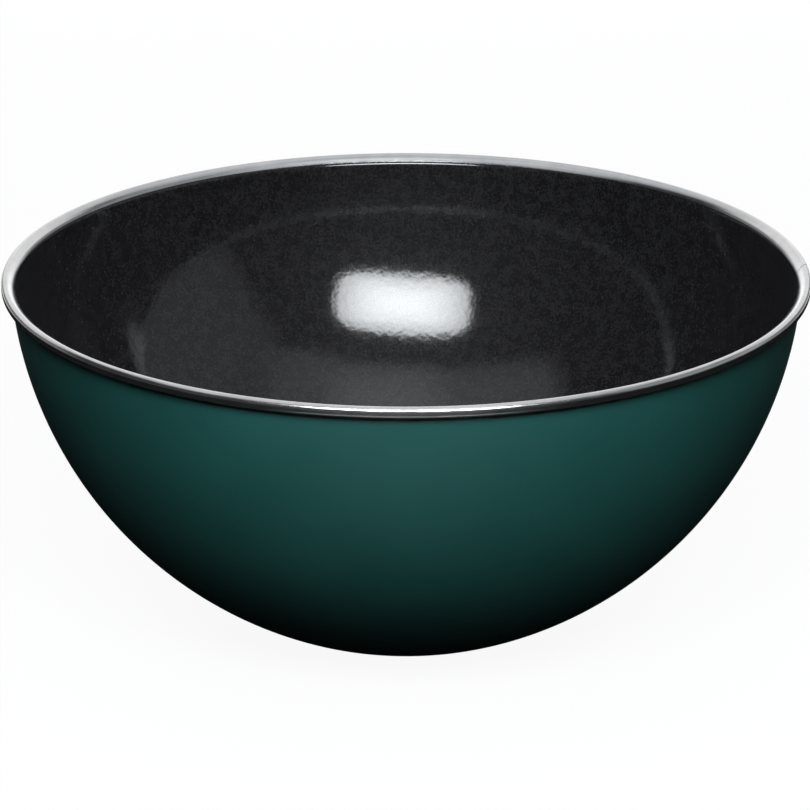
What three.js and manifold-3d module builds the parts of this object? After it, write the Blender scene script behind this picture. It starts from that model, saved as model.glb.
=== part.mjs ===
// Mixing bowl of enamelled sheet steel with a stainless band rolled over its lip.
// Millimetres, +Z up. The origin is the centre of the base, on the plane the bowl stands on.
import * as THREE from 'three';
import { mergeVertices } from 'three/addons/utils/BufferGeometryUtils.js';
import Module from 'manifold-3d';

// Overall form, measured on the outside.
const RIM_DIAMETER = 260; // across the rim band
const HEIGHT = 116.5; // from the base to the top of the rim band
const BASE_DIAMETER = 84; // outer edge of the flat ring that the bowl stands on
const BASE_RING_WIDTH = 8; // flat ring around the dished middle of the base
const BASE_DISH_RISE = 0.8; // the middle of the base is pressed up so that only the ring stands
const KNUCKLE_RADIUS = 25; // bend from the base into the wall
const WALL_TOP_SLOPE = THREE.MathUtils.degToRad(86); // from level, where the wall meets the lip

// Sheet steel and the enamel fired onto it.
const STEEL_THICKNESS = 0.8;
const GROUND_COAT = 0.15; // dark enamel that grips the steel, outside
const COVER_COAT = 0.2; // green enamel over the ground coat
const COVER_STOP = 0.8; // from the top of the cover coat up to the bend of the lip
const INNER_COAT = 0.25; // speckled dark enamel, inside
const COAT_CLEARANCE = 0.02; // between each layer and the one it is fired onto

// Lip: the top of the sheet turned out level.
const LIP_BEND_RADIUS = 1.2; // under the lip, on the ground coat

// Rim band: a stainless strip closed over the lip, with its ends cut aslant and butted together.
const BAND_HEIGHT = 3.25;
const BAND_OVERHANG = 3; // from the outside of the wall to the outside of the band
const BAND_THICKNESS = 0.35;
const BAND_CROWN_RADIUS = 1.5; // over the top and the upper outer corner
const BAND_FACE_RADIUS = 4.7; // inner face, which curves down to the bend of the lip
const BAND_FACE_TOP = THREE.MathUtils.degToRad(25); // fall from level, where the crown passes into the face
const BAND_HEM_RADIUS = 0.9; // lower outer corner, where the strip turns in under the lip
const BAND_HEM_REACH = 1.3; // from the outside of the band to the hem's inner edge
const BAND_CLEARANCE = 0.1; // between the band and the lip
const SEAM_GAP = 0.3;
const SEAM_AZIMUTH = THREE.MathUtils.degToRad(7.5); // from +X towards +Y
const SEAM_SKEW = THREE.MathUtils.degToRad(55); // from straight across the band

// Facets.
const ROUND_SEGMENTS = 52;
const DISH_STEPS = 2;
const KNUCKLE_STEPS = 2;
const WALL_STEPS = 6;
const LIP_STEPS = 3;
const BAND_FACE_STEPS = 2;
const BAND_TOP_STEPS = 1;
const BAND_CORNER_STEPS = 3;
const BAND_HEM_STEPS = 3;

// Depth of each surface below the outside of the cover coat.
const coverInside = COVER_COAT;
const groundOutside = coverInside + COAT_CLEARANCE;
const groundInside = groundOutside + GROUND_COAT;
const steelOutside = groundInside + COAT_CLEARANCE;
const steelInside = steelOutside + STEEL_THICKNESS;
const innerOutside = steelInside + COAT_CLEARANCE;
const innerInside = innerOutside + INNER_COAT;

const point = (radius, height) => new THREE.Vector2(radius, height);

// Unit vector pointing out of a surface that slopes up and outwards by this angle.
const outwards = (slope) => point(Math.sin(slope), -Math.cos(slope));

// Points on an arc between two slopes. A negative radius puts its centre on the outside of the bowl.
function arc(centre, radius, fromSlope, toSlope, steps) {
  return Array.from({ length: steps + 1 }, (_, step) => {
    const slope = THREE.MathUtils.lerp(fromSlope, toSlope, step / steps);
    return outwards(slope).multiplyScalar(radius).add(centre);
  });
}

// The lip lies inside the band, just above the hem, and stops where the hem's corner begins.
const rimRadius = RIM_DIAMETER / 2;
const bandFoot = HEIGHT - BAND_HEIGHT;
const lipUnderside = bandFoot + BAND_THICKNESS + BAND_CLEARANCE;
const lipEdge = rimRadius - BAND_HEM_RADIUS;

// The wall ends where the bend of the lip begins, and both have the same slope there.
const wallTopNormal = outwards(WALL_TOP_SLOPE);
const bendOutsideCover = LIP_BEND_RADIUS - groundOutside;
const wallTop = point(
  rimRadius - BAND_OVERHANG,
  lipUnderside - LIP_BEND_RADIUS - bendOutsideCover * wallTopNormal.y,
);
const lipCentre = wallTopNormal.clone().multiplyScalar(bendOutsideCover).add(wallTop);

// The wall is one arc, tangent to the knuckle below and to the slope at its top.
const baseRadius = BASE_DIAMETER / 2;
const knuckleCentre = point(baseRadius, KNUCKLE_RADIUS);
const knuckleToTop = wallTop.clone().sub(knuckleCentre);
const wallRadius =
  (knuckleToTop.lengthSq() - KNUCKLE_RADIUS ** 2) /
  (2 * (knuckleToTop.dot(wallTopNormal) - KNUCKLE_RADIUS));
const wallCentre = wallTop.clone().addScaledVector(wallTopNormal, -wallRadius);
const knuckleSlope = Math.atan2(
  knuckleCentre.x - wallCentre.x,
  wallCentre.y - knuckleCentre.y,
);

const coverTopSlope = WALL_TOP_SLOPE - COVER_STOP / wallRadius;

// The bowl's surface at a depth, from the axis out to where the cover coat stops.
function bowlSurface(depth) {
  const dishRadius = baseRadius - BASE_RING_WIDTH;
  const dish = Array.from({ length: DISH_STEPS + 1 }, (_, step) => {
    const share = step / DISH_STEPS;
    return point(share * dishRadius, depth + BASE_DISH_RISE * (1 - share ** 2));
  });
  const knuckle = arc(knuckleCentre, KNUCKLE_RADIUS - depth, 0, knuckleSlope, KNUCKLE_STEPS);
  const wall = arc(wallCentre, wallRadius - depth, knuckleSlope, coverTopSlope, WALL_STEPS);
  return [...dish, ...knuckle, ...wall.slice(1)];
}

const lipBendAt = (depth) => LIP_BEND_RADIUS + depth - groundOutside;

// The same surface carried on up the wall and round the bend to the edge of the lip.
function lippedSurface(depth) {
  const bend = arc(lipCentre, -lipBendAt(depth), WALL_TOP_SLOPE, 0, LIP_STEPS);
  const edge = point(lipEdge, lipCentre.y + lipBendAt(depth));
  return [...bowlSurface(depth), ...bend, edge];
}

// A section turned about the Z axis.
function revolve(section) {
  return new THREE.LatheGeometry(section, ROUND_SEGMENTS).rotateX(Math.PI / 2);
}

const layer = (outside, inside) => revolve([...outside, ...inside.reverse()]);

// The band's crown passes into the inner face with one tangent, and the face stops where the inside of the
// strip comes down to the bend of the lip.
const crownCentre = point(rimRadius - BAND_CROWN_RADIUS, HEIGHT - BAND_CROWN_RADIUS);
const faceTop = BAND_FACE_TOP - Math.PI;
const faceCentre = outwards(faceTop)
  .multiplyScalar(BAND_CROWN_RADIUS - BAND_FACE_RADIUS)
  .add(crownCentre);
const faceInside = BAND_FACE_RADIUS - BAND_THICKNESS;
const bendClear = lipBendAt(innerInside) + BAND_CLEARANCE;
const toBend = lipCentre.clone().sub(faceCentre);
const spread = Math.acos(
  (faceInside ** 2 + toBend.lengthSq() - bendClear ** 2) / (2 * faceInside * toBend.length()),
);
const faceFoot = Math.atan2(toBend.x, -toBend.y) - spread;
const bandInside = faceCentre.x + BAND_FACE_RADIUS * outwards(faceFoot).x;
const hemCentre = point(rimRadius - BAND_HEM_RADIUS, bandFoot + BAND_HEM_RADIUS);

// Section of the band: up its inner face, over the crown, down the outside and in along the hem.
// Inset 0 is the strip's outside, and the strip's thickness is its inside.
function bandSurface(inset) {
  const crownRadius = BAND_CROWN_RADIUS - inset;
  const face = arc(faceCentre, BAND_FACE_RADIUS - inset, faceFoot, faceTop, BAND_FACE_STEPS);
  const top = arc(crownCentre, crownRadius, faceTop, -Math.PI, BAND_TOP_STEPS);
  const corner = arc(crownCentre, crownRadius, -Math.PI, -1.5 * Math.PI, BAND_CORNER_STEPS);
  const hem = arc(hemCentre, BAND_HEM_RADIUS - inset, Math.PI / 2, 0, BAND_HEM_STEPS);
  const hemEdge = point(rimRadius - BAND_HEM_REACH, bandFoot + inset);
  return [...face, ...top.slice(1), ...corner.slice(1), ...hem, hemEdge];
}

const wasm = await Module();
wasm.setup();

function solidOf(geometry) {
  const bare = geometry.clone();
  bare.deleteAttribute('normal');
  bare.deleteAttribute('uv');
  const merged = mergeVertices(bare);
  const mesh = new wasm.Mesh({
    numProp: 3,
    vertProperties: merged.attributes.position.array,
    triVerts: Uint32Array.from(merged.index.array),
  });
  return new wasm.Manifold(mesh);
}

function geometryOf(solid) {
  const mesh = solid.getMesh();
  const geometry = new THREE.BufferGeometry();
  geometry.setAttribute('position', new THREE.BufferAttribute(mesh.vertProperties, mesh.numProp));
  geometry.setIndex(new THREE.BufferAttribute(mesh.triVerts, 1));
  geometry.computeVertexNormals();
  return geometry;
}

// The band is one ring of strip, opened by the thin gap where its two ends meet.
function rimBand() {
  const inside = bandSurface(BAND_THICKNESS);
  const ring = revolve([...inside, ...bandSurface(0).reverse(), inside[0]]);
  const bandWidth = rimRadius - bandInside;
  const seamLength = (2 * bandWidth) / Math.cos(SEAM_SKEW);
  const seam = new THREE.BoxGeometry(seamLength, SEAM_GAP, 2 * BAND_HEIGHT);
  seam.rotateZ(SEAM_SKEW);
  seam.translate(rimRadius - bandWidth / 2, 0, HEIGHT - BAND_HEIGHT / 2);
  seam.rotateZ(SEAM_AZIMUTH);
  return geometryOf(solidOf(ring).subtract(solidOf(seam)));
}

const bareSteel = { color: 0x8d9092, roughness: 0.5, metalness: 1 };
const groundEnamel = { color: 0x15171a, roughness: 0.4, metalness: 0 };
const greenEnamel = { color: 0x1d4f4c, roughness: 0.6, metalness: 0 };
const speckledEnamel = { color: 0x232327, roughness: 0.08, metalness: 0 };
const polishedStainless = { color: 0xc9cacb, roughness: 0.18, metalness: 1 };

function piece(name, geometry, finish) {
  const mesh = new THREE.Mesh(geometry, new THREE.MeshStandardMaterial(finish));
  mesh.name = name;
  return mesh;
}

const bowl = new THREE.Group();
bowl.add(
  piece('steel_shell', layer(lippedSurface(steelOutside), lippedSurface(steelInside)), bareSteel),
  piece('inner_enamel', layer(lippedSurface(innerOutside), lippedSurface(innerInside)), speckledEnamel),
  piece('ground_coat', layer(lippedSurface(groundOutside), lippedSurface(groundInside)), groundEnamel),
  piece('outer_enamel', layer(bowlSurface(0), bowlSurface(coverInside)), greenEnamel),
  piece('rim_band', rimBand(), polishedStainless),
);

export default bowl;
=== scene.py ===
import bpy
import numpy as np
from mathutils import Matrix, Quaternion, Vector


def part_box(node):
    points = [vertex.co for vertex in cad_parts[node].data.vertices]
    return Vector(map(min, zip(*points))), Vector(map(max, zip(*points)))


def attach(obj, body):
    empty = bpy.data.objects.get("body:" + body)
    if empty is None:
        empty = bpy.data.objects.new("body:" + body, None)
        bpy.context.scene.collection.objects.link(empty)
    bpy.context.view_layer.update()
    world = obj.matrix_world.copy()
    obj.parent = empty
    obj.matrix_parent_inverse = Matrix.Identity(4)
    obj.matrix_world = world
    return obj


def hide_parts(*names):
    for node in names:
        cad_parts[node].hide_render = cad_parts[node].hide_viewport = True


# Deep mixing bowl of enamelled sheet steel, satin green outside and speckled charcoal inside, with a bright
# rim band. Lengths are in metres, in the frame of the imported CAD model.
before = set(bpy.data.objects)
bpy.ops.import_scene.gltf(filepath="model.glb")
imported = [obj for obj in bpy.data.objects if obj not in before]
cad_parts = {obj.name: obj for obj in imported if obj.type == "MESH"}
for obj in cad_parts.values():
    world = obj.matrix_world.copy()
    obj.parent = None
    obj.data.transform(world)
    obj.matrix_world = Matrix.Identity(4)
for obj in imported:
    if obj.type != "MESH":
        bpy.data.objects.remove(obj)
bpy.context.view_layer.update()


# Steel shell: one disc of soft sheet steel, drawn to a dished base, a rounded knuckle and a nearly spherical
# wall, with its edge turned out level as a lip. Both sides are covered by the enamel fired onto it.
STEEL_THICKNESS = 0.0008
BASE_RADIUS = 0.042
BASE_RING_WIDTH = 0.008
BASE_DISH_RISE = 0.0008
KNUCKLE_RADIUS = 0.025
WALL_TOP_RADIUS = 0.127
WALL_TOP_SLOPE = np.radians(86)
LIP_BEND_RADIUS = 0.0012
DISH_STEPS = 16
KNUCKLE_STEPS = 14
WALL_STEPS = 72
LIP_STEPS = 14
STEPS_AROUND = 240
SHARP_EDGE = np.radians(35)
PALE_STEEL = (0.33, 0.335, 0.34, 1)
DULL_STEEL = (0.21, 0.215, 0.225, 1)
ROLLING_MARKS = 0.004
STEEL_GRAIN = 0.0006
STEEL_GRAIN_DEPTH = 0.00001
STEEL_ROUGHNESS = 0.42
ROLLING_ROUGHNESS = 0.2


def depth_of(node):
    """Depth of a layer's outside below the bowl's outside, read where the layer crosses the base ring."""
    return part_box(node)[0].z


def outwards(slope):
    """Unit vectors (radius, height) pointing out of a surface that rises outwards at a slope.

    Their radius is the sine of the slope, and their height minus its cosine.
    """
    return np.stack([np.sin(slope), -np.cos(slope)], axis=-1)


def arc(centre, radius, start_slope, end_slope, steps):
    """Points at the centre plus the radius times the outward vector, from one slope to another.

    A negative radius puts the centre on the outside of the bowl.
    """
    return centre + radius * outwards(np.linspace(start_slope, end_slope, steps + 1))


def lip_bend(depth):
    """Radius of the lip's bend at a depth: the bend is centred outside the bowl, so it grows with depth."""
    return LIP_BEND_RADIUS + depth - depth_of("ground_coat")


steel_inside = depth_of("steel_shell") + STEEL_THICKNESS
lip_edge_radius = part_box("steel_shell")[1].x
wall_top_normal = outwards(WALL_TOP_SLOPE)
lip_centre = np.array([
    WALL_TOP_RADIUS + lip_bend(0) * wall_top_normal[0],
    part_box("steel_shell")[1].z - lip_bend(steel_inside),
])
wall_top = lip_centre - lip_bend(0) * wall_top_normal
knuckle_centre = np.array([BASE_RADIUS, KNUCKLE_RADIUS])
knuckle_to_top = wall_top - knuckle_centre
wall_radius = (knuckle_to_top @ knuckle_to_top - KNUCKLE_RADIUS**2) / (
    2 * (knuckle_to_top @ wall_top_normal - KNUCKLE_RADIUS)
)
wall_centre = wall_top - wall_radius * wall_top_normal
knuckle_slope = np.arctan2(*((knuckle_centre - wall_centre) * [1, -1]))


def bowl_line(depth, top_slope=WALL_TOP_SLOPE):
    """The bowl's outline at a depth, from the axis to where the wall has a slope.

    The dish rises by (1 - share²)² of its height, so it runs smoothly into the flat ring. The knuckle and
    the wall are arcs with one tangent where they meet.
    """
    share = np.linspace(0, 1, DISH_STEPS + 1)
    dish_radius = BASE_RADIUS - BASE_RING_WIDTH
    dish = np.stack([share * dish_radius, depth + BASE_DISH_RISE * (1 - share**2) ** 2], axis=1)
    knuckle = arc(knuckle_centre, KNUCKLE_RADIUS - depth, 0, knuckle_slope, KNUCKLE_STEPS)
    wall = arc(wall_centre, wall_radius - depth, knuckle_slope, top_slope, WALL_STEPS)
    return np.concatenate([dish, knuckle, wall[1:]])


def lipped_line(depth):
    """The bowl's outline carried on round the bend to the edge of the lip."""
    bend = arc(lip_centre, -lip_bend(depth), WALL_TOP_SLOPE, 0, LIP_STEPS)
    edge = [[lip_edge_radius, lip_centre[1] + lip_bend(depth)]]
    return np.concatenate([bowl_line(depth), bend[1:], edge])


def smooth_piece(name, points, faces):
    """An object of those points and faces, shaded smooth except at sharp edges."""
    mesh = bpy.data.meshes.new(name)
    mesh.from_pydata(points.tolist(), [], faces)
    mesh.shade_smooth()
    mesh.set_sharp_from_angle(angle=SHARP_EDGE)
    piece = bpy.data.objects.new(name, mesh)
    bpy.context.scene.collection.objects.link(piece)
    return piece


def turned(name, outside, inside):
    """Closed shell between two outlines, turned about the Z axis.

    The section runs out along one outline and back along the other. Its point i at angle a lies at
    (radius_i cos a, radius_i sin a, height_i), and a fan of triangles closes each end on the axis.
    """
    section = np.concatenate([outside, inside[::-1]])
    angle = np.linspace(0, 2 * np.pi, STEPS_AROUND, endpoint=False)
    radius, height = section[1:-1, :1], section[1:-1, 1:]
    rings = np.stack([radius * np.cos(angle), radius * np.sin(angle), height + 0 * angle], axis=-1)
    poles = [[0, 0, section[0, 1]], [0, 0, section[-1, 1]]]
    here = np.arange(radius.size * STEPS_AROUND).reshape(radius.size, STEPS_AROUND)
    beside = np.roll(here, -1, axis=1)
    walls = np.stack([here[:-1], beside[:-1], beside[1:], here[1:]], axis=-1).reshape(-1, 4)
    first_pole = np.full(STEPS_AROUND, here.size)
    first_fan = np.stack([first_pole, beside[0], here[0]], axis=1)
    last_fan = np.stack([first_pole + 1, here[-1], beside[-1]], axis=1)
    points = np.concatenate([rings.reshape(-1, 3), poles])
    return smooth_piece(name, points, [*walls.tolist(), *first_fan.tolist(), *last_fan.tolist()])


class Field:
    """A value that changes over a surface: an output socket in a material. Arithmetic adds Math nodes."""

    def __init__(self, tree, socket):
        self.tree = tree
        self.socket = socket

    def node(self, kind, settings, sockets, output=0):
        """Adds a node, makes its settings, fills or links its sockets, and gives one of its outputs."""
        added = self.tree.nodes.new("ShaderNode" + kind)
        for name, value in settings.items():
            setattr(added, name, value)
        for name, value in sockets.items():
            if isinstance(value, Field):
                self.tree.links.new(value.socket, added.inputs[name])
            else:
                added.inputs[name].default_value = value
        return Field(self.tree, added.outputs[output])

    def math(self, operation, *values):
        """A Math node that works on these numbers and fields."""
        return self.node("Math", {"operation": operation}, dict(enumerate(values)))

    def __add__(self, other):
        return self.math("ADD", self, other)

    def __sub__(self, other):
        return self.math("SUBTRACT", self, other)

    def __rsub__(self, other):
        return self.math("SUBTRACT", other, self)

    def __mul__(self, other):
        return self.math("MULTIPLY", self, other)

    def __truediv__(self, other):
        return self.math("DIVIDE", self, other)

    def __rtruediv__(self, other):
        return self.math("DIVIDE", other, self)

    def __pow__(self, other):
        return self.math("POWER", self, other)

    def __rpow__(self, other):
        return self.math("POWER", other, self)

    __radd__ = __add__
    __rmul__ = __mul__

    def axis(self, name):
        """One coordinate, X, Y or Z, of this field as a vector."""
        return self.node("SeparateXYZ", {}, {"Vector": self}, output=name)

    def noise(self, size, detail=2):
        """Cloudy noise around 0.5 whose blots are about a size across, on this field as coordinates."""
        return self.node("TexNoise", {}, {"Vector": self, "Scale": 1 / size, "Detail": detail})

    def step(self, low, high):
        """Smooth step: 0 below low, 1 above high."""
        limits = {"Value": self, "From Min": low, "From Max": high}
        return self.node("MapRange", {"interpolation_type": "SMOOTHSTEP"}, limits)

    def between(self, colour, other_colour):
        """One colour where this field is 0, the other where it is 1, by the Mix node's colour sockets."""
        return self.node("Mix", {"data_type": "RGBA"}, {0: self, 6: colour, 7: other_colour}, output=2)

    def bump(self, depth):
        """Surface normal with this field raised by a depth."""
        return self.node("Bump", {}, {"Height": self, "Distance": depth})


def finish(name, constants):
    """A material with one Principled shader, its constant sockets set. Gives its object coordinates too."""
    material = bpy.data.materials.new(name)
    material.use_nodes = True
    tree = material.node_tree
    shader = tree.nodes["Principled BSDF"]
    for socket, value in constants.items():
        shader.inputs[socket].default_value = value
    place = Field(tree, tree.nodes.new("ShaderNodeTexCoord").outputs["Object"])
    return material, place


def dress(piece, material, fields):
    """Gives a piece its material, with the fields that vary over the surface linked to the shader."""
    shader = material.node_tree.nodes["Principled BSDF"]
    for socket, field in fields.items():
        material.node_tree.links.new(field.socket, shader.inputs[socket])
    piece.data.materials.append(material)


def part_of_bowl(piece, node):
    """The piece stands for a CAD node, which it hides, and moves with the bowl."""
    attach(piece, "root")
    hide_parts(node)


drawn_shell = turned("drawn_shell", lipped_line(depth_of("steel_shell")), lipped_line(steel_inside))
bare_steel, place = finish("bare_steel", {"Metallic": 1})
rolling = place.noise(ROLLING_MARKS, detail=5)
dress(drawn_shell, bare_steel, {
    "Base Color": rolling.between(DULL_STEEL, PALE_STEEL),
    "Roughness": STEEL_ROUGHNESS + ROLLING_ROUGHNESS * rolling,
    "Normal": place.noise(STEEL_GRAIN).bump(STEEL_GRAIN_DEPTH),
})
part_of_bowl(drawn_shell, "steel_shell")


# Ground coat: dark enamel that grips the steel, dipped and fired first. It shows as a fine black line where
# the green coat stops short under the lip.
GROUND_COAT = 0.00015
GROUND_BLACK = (0.008, 0.008, 0.009, 1)
GROUND_GREY = (0.016, 0.016, 0.018, 1)
PITTING = 0.0009
PITTING_DEPTH = 0.000012
GROUND_CLOUDS = 0.005
GROUND_ROUGHNESS = 0.34
GROUND_CLOUD_ROUGHNESS = 0.2

ground_outside = depth_of("ground_coat")
dark_ground = turned("dark_ground", lipped_line(ground_outside), lipped_line(ground_outside + GROUND_COAT))
black_enamel, place = finish("black_enamel", {"IOR": 1.5})
pitting = place.noise(PITTING)
dress(dark_ground, black_enamel, {
    "Base Color": pitting.between(GROUND_BLACK, GROUND_GREY),
    "Roughness": GROUND_ROUGHNESS + GROUND_CLOUD_ROUGHNESS * place.noise(GROUND_CLOUDS),
    "Normal": pitting.bump(PITTING_DEPTH),
})
part_of_bowl(dark_ground, "ground_coat")


# Green cover coat: enamel sprayed over the ground coat and fired to a satin finish. It stops short of the
# lip's bend, in a rounded edge that the firing draws thinner.
COVER_COAT = 0.0002
COVER_STOP = 0.0008
COVER_EDGE = 0.0004
EDGE_STEPS = 8
GREEN = (0.0124, 0.088, 0.0785, 1)
DEEP_GREEN = (0.011, 0.078, 0.0695, 1)
SHADED_THIN_GREEN = (0.006, 0.026, 0.024, 1)
SHADED_THIN_EDGE = 0.0006
FRAY_LENGTH = 0.004
FRAY_HEIGHT = 0.0008
SPRAY_DROPS = 0.0011
SPRAY_SHARE = 0.8
SPRAY_DEPTH = 0.000012
CLOUDS = 0.022
CLOUD_SHARE = 0.55
GRAIN = 0.0004
GREEN_CONTRAST = (0.3, 0.7)
SATIN_ROUGHNESS = 0.42
CLOUD_ROUGHNESS = 0.1
GRAIN_ROUGHNESS = 0.06

cover_top = WALL_TOP_SLOPE - COVER_STOP / wall_radius
edge_turn = np.linspace(0, np.pi / 2, EDGE_STEPS + 1)
edge_slope = cover_top - COVER_EDGE / wall_radius * (1 - np.sin(edge_turn))
edge_radius = wall_radius - COVER_COAT * (1 - np.cos(edge_turn))
cover_edge = wall_centre + edge_radius[:, None] * outwards(edge_slope)
cover_outside = np.concatenate([bowl_line(0, edge_slope[0]), cover_edge[1:]])

green_coat = turned("green_coat", cover_outside, bowl_line(COVER_COAT, cover_top)[:-1])
green_enamel, place = finish("green_enamel", {"IOR": 1.5, "Specular IOR Level": 0.5})
spray = place.noise(SPRAY_DROPS, detail=3)
cloud = place.noise(CLOUDS)
grain = place.noise(GRAIN)
# Painted shade under the band: the coat's top edge darkens to near black in a frayed strip; the coat runs
# thinner there too.
fray = place.axis("Z") + FRAY_HEIGHT * (place.noise(FRAY_LENGTH, detail=4) - 0.5)
thin_and_shaded = fray.step(cover_edge[-1, 1] - SHADED_THIN_EDGE, cover_edge[-1, 1])
tone = (CLOUD_SHARE * cloud + (1 - CLOUD_SHARE) * grain).step(*GREEN_CONTRAST)
dress(green_coat, green_enamel, {
    "Base Color": thin_and_shaded.between(tone.between(DEEP_GREEN, GREEN), SHADED_THIN_GREEN),
    "Roughness": SATIN_ROUGHNESS + CLOUD_ROUGHNESS * cloud + GRAIN_ROUGHNESS * grain,
    "Normal": (SPRAY_SHARE * spray + (1 - SPRAY_SHARE) * grain).bump(SPRAY_DEPTH),
})
part_of_bowl(green_coat, "outer_enamel")


# Inside coat: glossy charcoal enamel with fine pale specks, poured over the whole inside and over the lip.
# Firing leaves the slight ripple that frays the edge of every reflection.
CHARCOAL = (0.0145, 0.0142, 0.016, 1)
SOOT = (0.0025, 0.0024, 0.0029, 1)
SPECK = (0.03, 0.029, 0.033, 1)
INNER_COAT = 0.00025
SPECK_SPACING = 0.0011
SPECK_SIZE = 0.0003
SMALLEST_SPECK = 0.35
SPECK_CORE = 0.6
FINE_MOTTLE = 0.0008
BROAD_MOTTLE = 0.0035
FINE_SHARE = 0.65
MOTTLE_CONTRAST = (0.39, 0.61)
RIPPLE = 0.0025
FINE_RIPPLE = 0.0009
FINE_RIPPLE_SHARE = 0.15
RIPPLE_DEPTH = 0.00002
GLOSS_ROUGHNESS = 0.07
MOTTLE_ROUGHNESS = 0.015

inner_outside = depth_of("inner_enamel")
inner_inside = inner_outside + INNER_COAT
inside_coat = turned("inside_coat", lipped_line(inner_outside), lipped_line(inner_inside))
speckled_enamel, place = finish("speckled_enamel", {
    "IOR": 1.6,
    "Coat Weight": 0.25,
    "Coat Roughness": 0.6,
})
cells = {"Vector": place, "Scale": 1 / SPECK_SPACING}
from_centre = place.node("TexVoronoi", {}, cells, output="Distance")
cell_colour = place.node("TexVoronoi", {}, cells, output="Color")
lot = cell_colour.node("SeparateColor", {}, {"Color": cell_colour})
reach = SPECK_SIZE / SPECK_SPACING * (SMALLEST_SPECK + lot)
speck = (1 - (from_centre / reach).step(SPECK_CORE, 1)) * lot ** 2
fine = place.noise(FINE_MOTTLE, detail=3)
broad = place.noise(BROAD_MOTTLE)
mottle = (FINE_SHARE * fine + (1 - FINE_SHARE) * broad).step(*MOTTLE_CONTRAST)
ripple = place.noise(RIPPLE, detail=1) + FINE_RIPPLE_SHARE * place.noise(FINE_RIPPLE)
dress(inside_coat, speckled_enamel, {
    "Base Color": speck.between(mottle.between(SOOT, CHARCOAL), SPECK),
    "Roughness": GLOSS_ROUGHNESS + MOTTLE_ROUGHNESS * mottle,
    "Normal": ripple.bump(RIPPLE_DEPTH),
})
part_of_bowl(inside_coat, "inner_enamel")


# Rim band: polished stainless strip rolled over the lip. Its inner face slopes down along the lip's bend,
# and its hem is turned in underneath. Its two ends are cut aslant and butted in one fine line.
BAND_THICKNESS = 0.00035
BAND_CROWN_RADIUS = 0.0015
BAND_FACE_RADIUS = 0.0047
BAND_FACE_TOP = np.radians(25)
BAND_HEM_RADIUS = 0.0009
BAND_HEM_REACH = 0.0013
BAND_CLEARANCE = 0.0001
CORNER_STEPS = 8
BAND_STEPS = 480
SEAM_AZIMUTH = np.radians(1.5)
SEAM_SKEW = np.radians(55)
SEAM_GAP = 0.0002
SKEW_FADE = 12
BRIGHT_STAINLESS = (0.74, 0.74, 0.745, 1)
GREY_STAINLESS = (0.6, 0.6, 0.61, 1)
DRAWN_LINES = 0.00016
LINE_STRETCH = 0.004
LINE_RISE = 0.7
LINE_SHARE = 0.6
LINE_DEPTH = 0.000002
WEAR = 0.006
STAINLESS_CONTRAST = (0.3, 0.7)
POLISH_ROUGHNESS = 0.12
LINE_ROUGHNESS = 0.1
WEAR_ROUGHNESS = 0.06

band_low, band_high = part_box("rim_band")
rim_radius = band_high.x
face_top = BAND_FACE_TOP - np.pi
crown = np.array([rim_radius - BAND_CROWN_RADIUS, band_high.z - BAND_CROWN_RADIUS])
face = crown + (BAND_CROWN_RADIUS - BAND_FACE_RADIUS) * outwards(face_top)
hem = np.array([rim_radius - BAND_HEM_RADIUS, band_low.z + BAND_HEM_RADIUS])
to_bend = lip_centre - face
to_bend_length = np.hypot(*to_bend)
face_inside = BAND_FACE_RADIUS - BAND_THICKNESS
bend_clear = lip_bend(inner_inside) + BAND_CLEARANCE
spread = np.arccos(
    (face_inside**2 + to_bend_length**2 - bend_clear**2) / (2 * face_inside * to_bend_length)
)
face_foot = np.arctan2(to_bend[0], -to_bend[1]) - spread


def band_line(inset):
    """Outline of the strip at an inset from its outside.

    It runs up the inner face from where that meets the bend of the lip, over the crown, down the outside and
    in at the hem. The face and the crown are arcs with one tangent where they meet.
    """
    return np.concatenate([
        arc(face, BAND_FACE_RADIUS - inset, face_foot, face_top, CORNER_STEPS),
        arc(crown, BAND_CROWN_RADIUS - inset, face_top, -3 * np.pi / 2, 2 * CORNER_STEPS)[1:],
        arc(hem, BAND_HEM_RADIUS - inset, np.pi / 2, 0, CORNER_STEPS),
        [[rim_radius - BAND_HEM_REACH, band_low.z + inset]],
    ])


def swept_band(name):
    """Strip carried once round the rim, from one side of the seam to the other.

    Point i at share t lies at its own radius and height, and at the seam's azimuth plus t of a full turn
    less the gap. Near the ends each point is set back along the rim by the tangent of the seam's skew times
    its distance inside the rim. That fades away from the ends with a high power of (2t - 1).
    """
    section = np.concatenate([band_line(0), band_line(BAND_THICKNESS)[::-1]])
    radius, height = section[:, :1], section[:, 1:]
    share = np.linspace(0, 1, BAND_STEPS + 1)
    aslant = np.tan(SEAM_SKEW) * (radius - rim_radius) / rim_radius
    gap = SEAM_GAP / np.cos(SEAM_SKEW) / rim_radius
    angle = SEAM_AZIMUTH + gap / 2 + (2 * np.pi - gap) * share + aslant * (2 * share - 1) ** SKEW_FADE
    rings = np.stack([radius * np.cos(angle), radius * np.sin(angle), height + 0 * angle], axis=-1)
    here = np.arange(angle.size).reshape(angle.shape)
    beyond = np.roll(here, -1, axis=0)
    skin = np.stack([here[:, :-1], beyond[:, :-1], beyond[:, 1:], here[:, 1:]], axis=-1).reshape(-1, 4)
    half = len(section) // 2
    outer, inner = here[:half], here[:half - 1:-1]
    ends = np.stack([outer[:-1], outer[1:], inner[1:], inner[:-1]], axis=-1)
    first_end, last_end = ends[:, 0, ::-1], ends[:, -1]
    faces = [*skin.tolist(), *first_end.tolist(), *last_end.tolist()]
    return smooth_piece(name, rings.reshape(-1, 3), faces)


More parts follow.
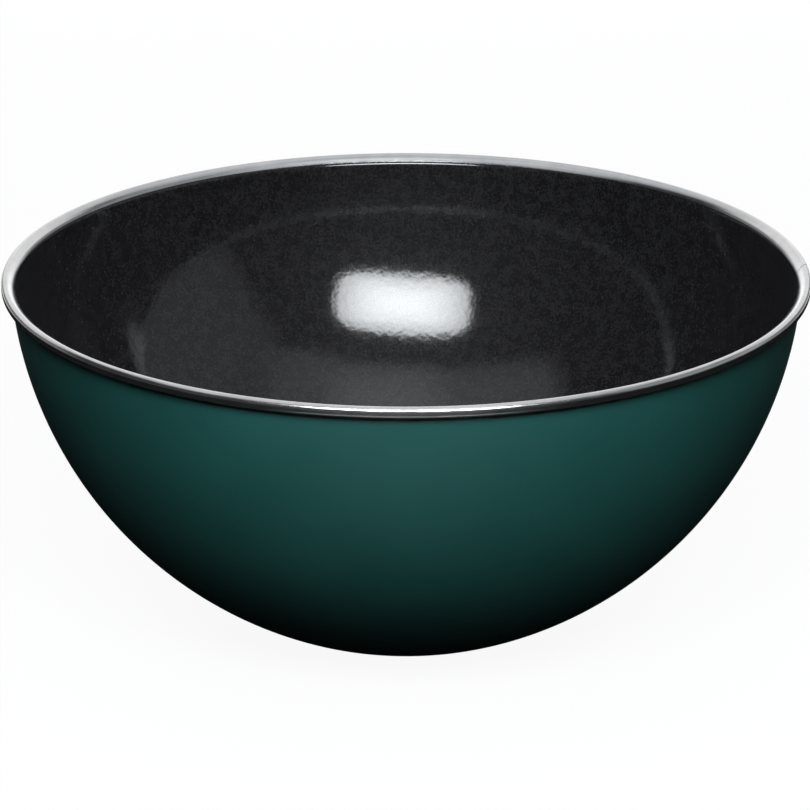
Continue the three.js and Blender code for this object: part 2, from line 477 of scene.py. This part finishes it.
stainless_band = swept_band("stainless_band")
polished_stainless, place = finish("polished_stainless", {"Metallic": 1})
x = place.axis("X")
y = place.axis("Y")
across = (x * x + y * y) ** 0.5 + LINE_RISE * place.axis("Z")
along = place.node("CombineXYZ", {}, {"X": x * LINE_STRETCH, "Y": y * LINE_STRETCH, "Z": across})
lines = along.noise(DRAWN_LINES)
wear = place.noise(WEAR, detail=3)
tone = (LINE_SHARE * lines + (1 - LINE_SHARE) * wear).step(*STAINLESS_CONTRAST)
dress(stainless_band, polished_stainless, {
    "Base Color": tone.between(GREY_STAINLESS, BRIGHT_STAINLESS),
    "Roughness": POLISH_ROUGHNESS + LINE_ROUGHNESS * lines + WEAR_ROUGHNESS * wear,
    "Normal": lines.bump(LINE_DEPTH),
})
part_of_bowl(stainless_band, "rim_band")


# Floor: a pale studio sweep that rises behind the bowl. It glows white for the camera and in reflections,
# where the glow falls off towards the top and the sides, and it throws almost no light on the bowl.
FLOOR_HALF = 12
FLOOR_DROP = 0.0003
SWEEP_START = 1.9
SWEEP_RADIUS = 1
SWEEP_TOP = 3.4
SWEEP_STEPS = 24
PALE_GREY = (0.07, 0.07, 0.07, 1)
DARK_GREY = (0.02, 0.02, 0.02, 1)
FLOOR_GLOW = (0.93, 0.93, 0.93, 1)
NO_GLOW = (0, 0, 0, 1)
HEIGHT_FALL = 0.5
HEIGHT_RANGE = (1.7, 3.3)
SIDE_FALL = 0.78
SIDE_RANGE = (0.4, 1.2)
SIDE_SLOPE = 1.33


def sheet_of(name, line, half_width):
    """A studio sheet: a line of (Y, Z) points carried along X from minus to plus its half width."""
    sides = np.array([[-half_width], [half_width]])
    points = np.stack(np.broadcast_arrays(sides, line[:, 0], line[:, 1]), axis=-1)
    here = np.arange(2 * len(line)).reshape(2, len(line))
    faces = np.stack([here[0, :-1], here[1, :-1], here[1, 1:], here[0, 1:]], axis=-1)
    piece = smooth_piece(name, points.reshape(-1, 3), faces.tolist())
    return piece


sweep_centre = np.array([SWEEP_START, SWEEP_RADIUS - FLOOR_DROP])
sweep_line = np.concatenate([
    [[-FLOOR_HALF, -FLOOR_DROP]],
    arc(sweep_centre, SWEEP_RADIUS, 0, np.pi / 2, SWEEP_STEPS),
    [[SWEEP_START + SWEEP_RADIUS, SWEEP_TOP]],
])
floor = sheet_of("floor", sweep_line, FLOOR_HALF)
pale_floor, place = finish("pale_floor", {
    "Roughness": 1,
    "Specular IOR Level": 0,
    "Emission Strength": 1,
})
seen = place.node("LightPath", {}, {}, output="Is Camera Ray")
glossy = place.node("LightPath", {}, {}, output="Is Glossy Ray")
mirrored = glossy + place.node("LightPath", {}, {}, output="Is Transmission Ray")
sideways = place.axis("X")
up = place.axis("Z")
aside = sideways.math("ABSOLUTE", sideways) - SIDE_SLOPE * up
fall = (1 - HEIGHT_FALL * up.step(*HEIGHT_RANGE)) * (1 - SIDE_FALL * aside.step(*SIDE_RANGE))
dress(floor, pale_floor, {
    "Base Color": (seen + mirrored).between(DARK_GREY, PALE_GREY),
    "Emission Color": (seen + mirrored * fall).between(NO_GLOW, FLOOR_GLOW),
})


# Card: a sheet on the floor that only reflections show, black as painted shade so that the lower wall and
# the band's edge stay dark. Its grey front and its pale oval patch just in front of the bowl are painted
# light on the floor, which the band's lower face and the green wall mirror as a painted reflection and a
# painted sheen.
CARD_FRONT = -1.8
CARD_BACK = 0.45
CARD_HALF = 2.2
CARD_DROP = 0.0001
PAINTED_LIT_FLOOR_GREY = (0.085, 0.085, 0.085, 1)
PAINTED_SHADE_BLACK = (0.012, 0.012, 0.012, 1)
PAINTED_LIGHT_POOL = (0.25, 0.25, 0.25, 1)
GREY_TO_BLACK = (-0.5, -0.4)
PATCH_MIDDLE = -0.26
PATCH_HALF_WIDTH = 0.15
PATCH_HALF_DEPTH = 0.12
PATCH_CORE = 0.2

card = sheet_of("black_card", np.array([[CARD_FRONT, -CARD_DROP], [CARD_BACK, -CARD_DROP]]), CARD_HALF)
card.visible_camera = False
card.visible_diffuse = False
card.visible_shadow = False
black_card, place = finish("black_card", {"Roughness": 1, "Specular IOR Level": 0})
sideways = place.axis("X")
forward = place.axis("Y")
# Painted shade and painted light in reflections: black near the bowl, grey further in front for the band's
# lower face.
dark = forward.step(*GREY_TO_BLACK).between(PAINTED_LIT_FLOOR_GREY, PAINTED_SHADE_BLACK)
# Painted pool of light: a pale oval just in front of the bowl that gives the green wall a painted sheen.
from_light_pool = (sideways / PATCH_HALF_WIDTH) ** 2 + ((forward - PATCH_MIDDLE) / PATCH_HALF_DEPTH) ** 2
dress(card, black_card, {"Base Color": from_light_pool.step(PATCH_CORE, 1).between(PAINTED_LIGHT_POOL, dark)})


# Lamps: the inside mirrors a bright softbox in front and dimmer ones above. A panel at the right is only
# mirrored, one stands behind, and a fill behind lights the back of the wall and isn't mirrored.
LAMP_COLOUR = (0.97, 1, 1.03)
CORNER_POWER = 4
ROOM_LIGHT = 0.035


def softbox(name, position, target, size, middle, edge, fade, roll=0):
    """Lamp at a position, facing a target and rolled by degrees about that line.

    Brightness 1 mirrors as white. It falls from the middle to the edge with the square of the distance,
    which is the fourth root of the summed fourth powers across and upwards, so the corners are round. From
    the fade on, a share of that distance, it runs out to nothing.
    """
    lamp = bpy.data.lights.new(name, "AREA")
    lamp.shape = "RECTANGLE"
    lamp.size, lamp.size_y = size
    lamp.energy = np.pi * size[0] * size[1]
    lamp.color = LAMP_COLOUR
    lamp.use_nodes = True
    tree = lamp.node_tree
    spot = Field(tree, tree.nodes.new("ShaderNodeNewGeometry").outputs["Parametric"])
    across = 2 * spot.axis("X") - 1
    upwards = 2 * spot.axis("Y") - 1
    reach = (across ** CORNER_POWER + upwards ** CORNER_POWER) ** (1 / CORNER_POWER)
    glow = (middle - (middle - edge) * reach ** 2) * (1 - reach.step(fade, 1))
    tree.links.new(glow.socket, tree.nodes["Emission"].inputs["Strength"])
    piece = bpy.data.objects.new(name, lamp)
    piece.location = position
    facing = (Vector(target) - Vector(position)).to_track_quat("-Z", "Y")
    piece.rotation_euler = (facing @ Quaternion((0, 0, 1), np.radians(roll))).to_euler()
    piece.visible_camera = False
    bpy.context.scene.collection.objects.link(piece)
    return piece


softbox(
    "front_softbox", position=(0.012, -0.505, 0.46), target=(0, 0, 0.07), size=(0.545, 0.228),
    middle=18.5, edge=6, fade=0.9, roll=-5,
)
softbox(
    "upper_softbox", position=(-0.02, -0.18, 0.72), target=(0.005, 0.07, 0), size=(1.5, 0.5),
    middle=0.6, edge=0.31, fade=0.7,
)
softbox(
    "upper_core", position=(0.06, -0.24, 0.7), target=(0, 0.05, 0), size=(0.5, 0.34),
    middle=0.45, edge=0, fade=0.9,
)
softbox(
    "top_softbox", position=(0, 0.42, 0.95), target=(0, 0.42, 0), size=(1.8, 1.1),
    middle=0.74, edge=0.25, fade=0.85,
)
right_panel = softbox(
    "right_panel", position=(1.25, -0.08, 0.7), target=(0, 0, 0.1), size=(1.7, 1.2),
    middle=0.3, edge=0.2, fade=0.7,
)
right_panel.visible_diffuse = False
softbox(
    "back_panel", position=(0, 2.4, 0.4), target=(0, 0, 0.1), size=(1.7, 0.8),
    middle=0.55, edge=0.35, fade=0.3,
)
back_fill = softbox(
    "back_fill", position=(0, 1.5, 0.46), target=(0, 0, 0.06), size=(2.4, 0.8),
    middle=5, edge=3.4, fade=0.7,
)
back_fill.visible_glossy = False

world = bpy.data.worlds.new("studio")
world.use_nodes = True
world.node_tree.nodes["Background"].inputs["Color"].default_value = (ROOM_LIGHT, ROOM_LIGHT, ROOM_LIGHT, 1)
bpy.context.scene.world = world


# Camera: stands where the photograph was taken from and looks down into the bowl, with the focal length that
# gives the photograph's perspective in its square frame.
CAMERA_ELEVATION = np.radians(20.72)
CAMERA_DISTANCE = 1.1
CAMERA_AIM = (-0.00038, 0, 0.0685)
FOCAL_PIXELS = 3355.4
FRAME_PIXELS = 810

lens = bpy.data.cameras.new("camera")
lens.lens = lens.sensor_width * FOCAL_PIXELS / FRAME_PIXELS
camera = bpy.data.objects.new("camera", lens)
sight = Vector((0, -np.cos(CAMERA_ELEVATION), np.sin(CAMERA_ELEVATION)))
camera.location = Vector(CAMERA_AIM) + CAMERA_DISTANCE * sight
camera.rotation_euler = (np.pi / 2 - CAMERA_ELEVATION, 0, 0)
bpy.context.scene.collection.objects.link(camera)
bpy.context.scene.camera = camera
bpy.context.scene.view_settings.view_transform = "Standard"
